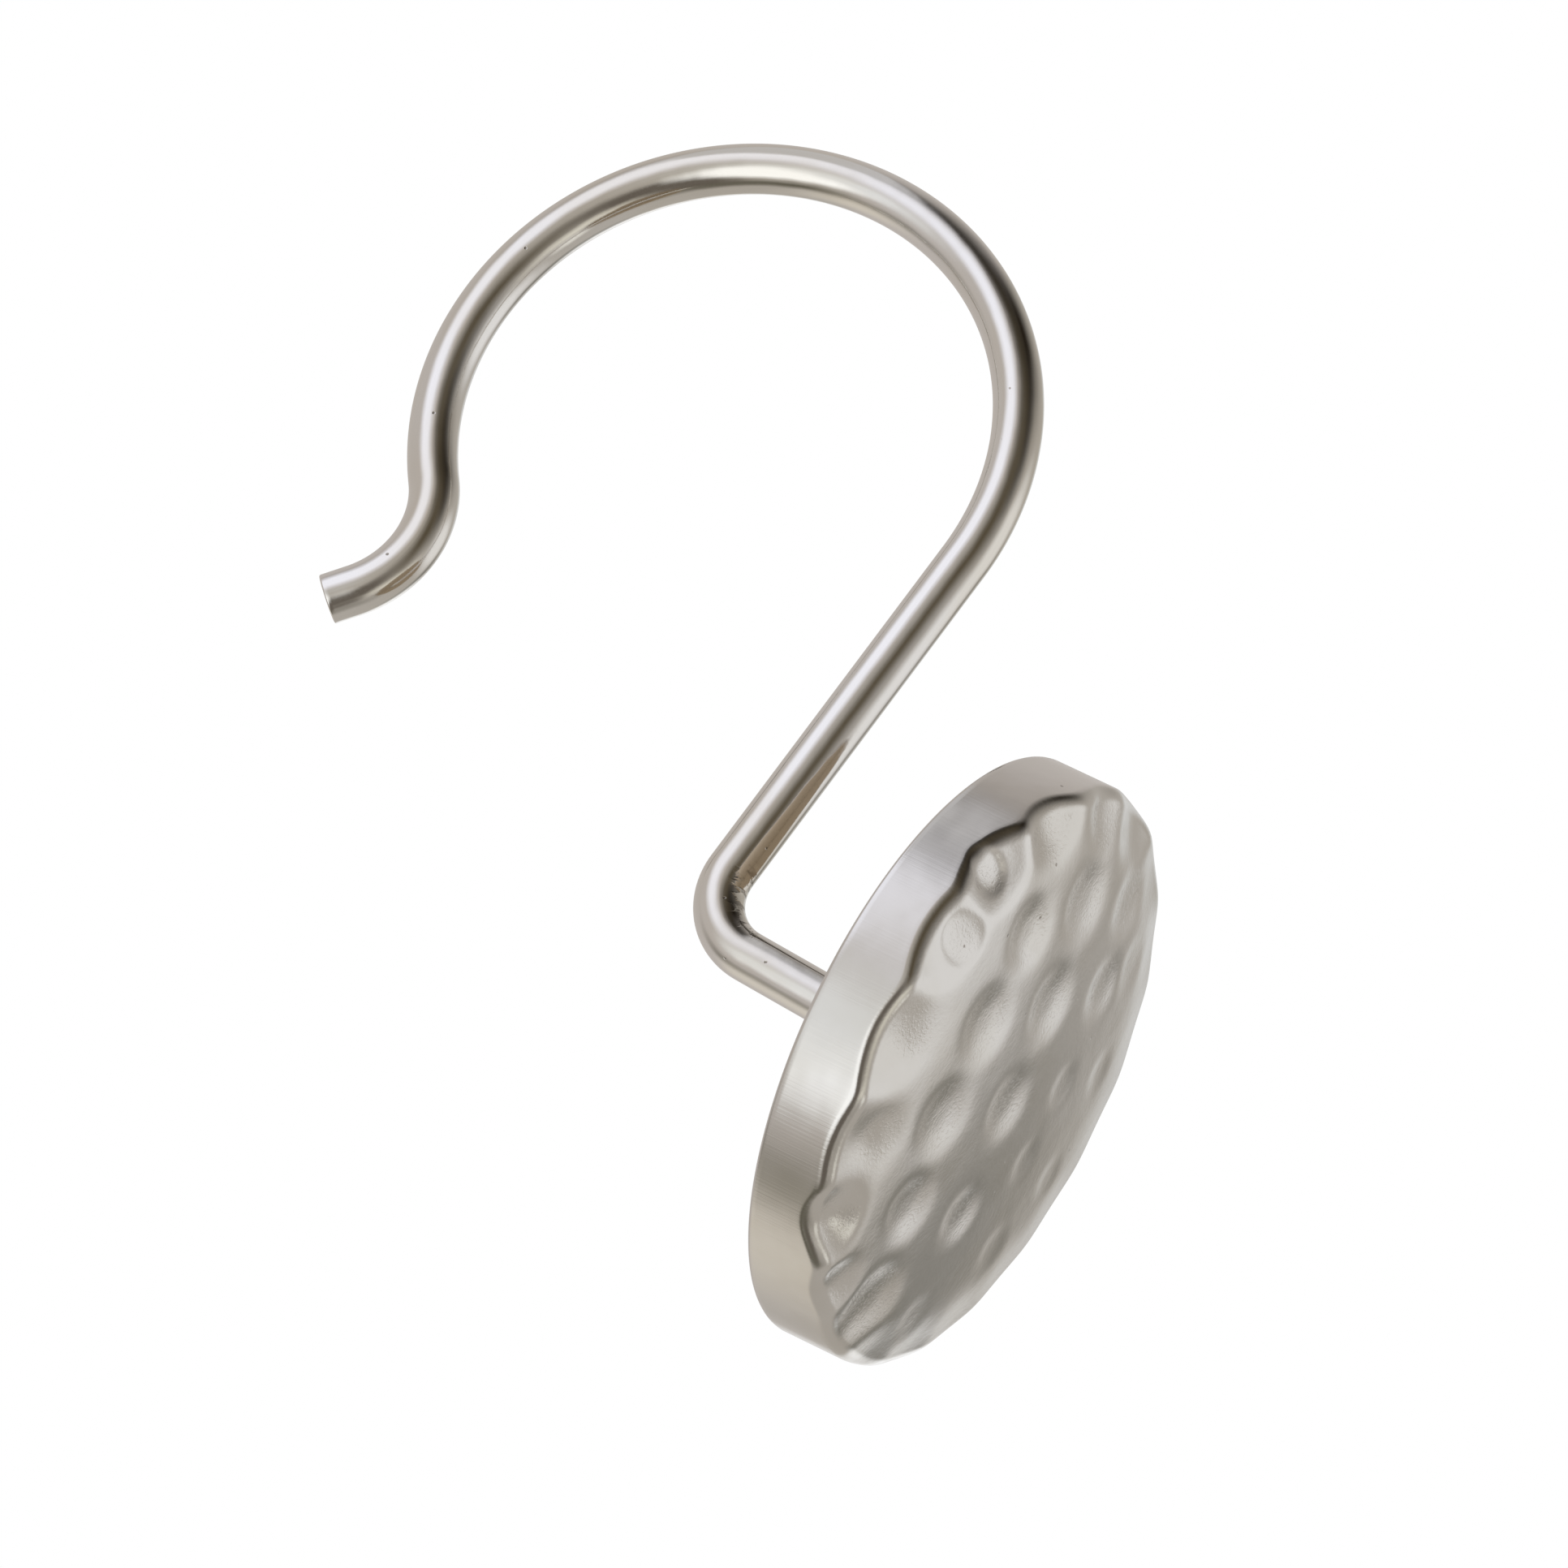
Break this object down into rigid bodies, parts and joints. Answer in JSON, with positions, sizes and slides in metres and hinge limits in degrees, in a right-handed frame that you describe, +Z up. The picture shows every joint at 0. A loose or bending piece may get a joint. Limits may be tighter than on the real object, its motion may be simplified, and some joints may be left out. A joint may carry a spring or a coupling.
{
  "type": "curtain hook",
  "caption": "Bent round-wire hook with an open loop that hangs over a curtain rod and a hammered, domed disc on the front of its stub, behind which the curtain hangs.",
  "frame": {"origin": "middle of the rod loop, on the rod's axis", "axes": "+Z up along the straight leg, +X forward along the stub to the disc, +Y along the rod"},
  "size_m": [0.0624, 0.038, 0.0671],
  "materials": {
    "polished_wire": "polished nickel plate on steel wire",
    "satin_disc": "satin nickel plate on cast zinc, hammered"
  },
  "bodies": {
    "root": {"wire_hook": "polished_wire", "hammered_disc": "satin_disc"}
  },
  "joints": []
}
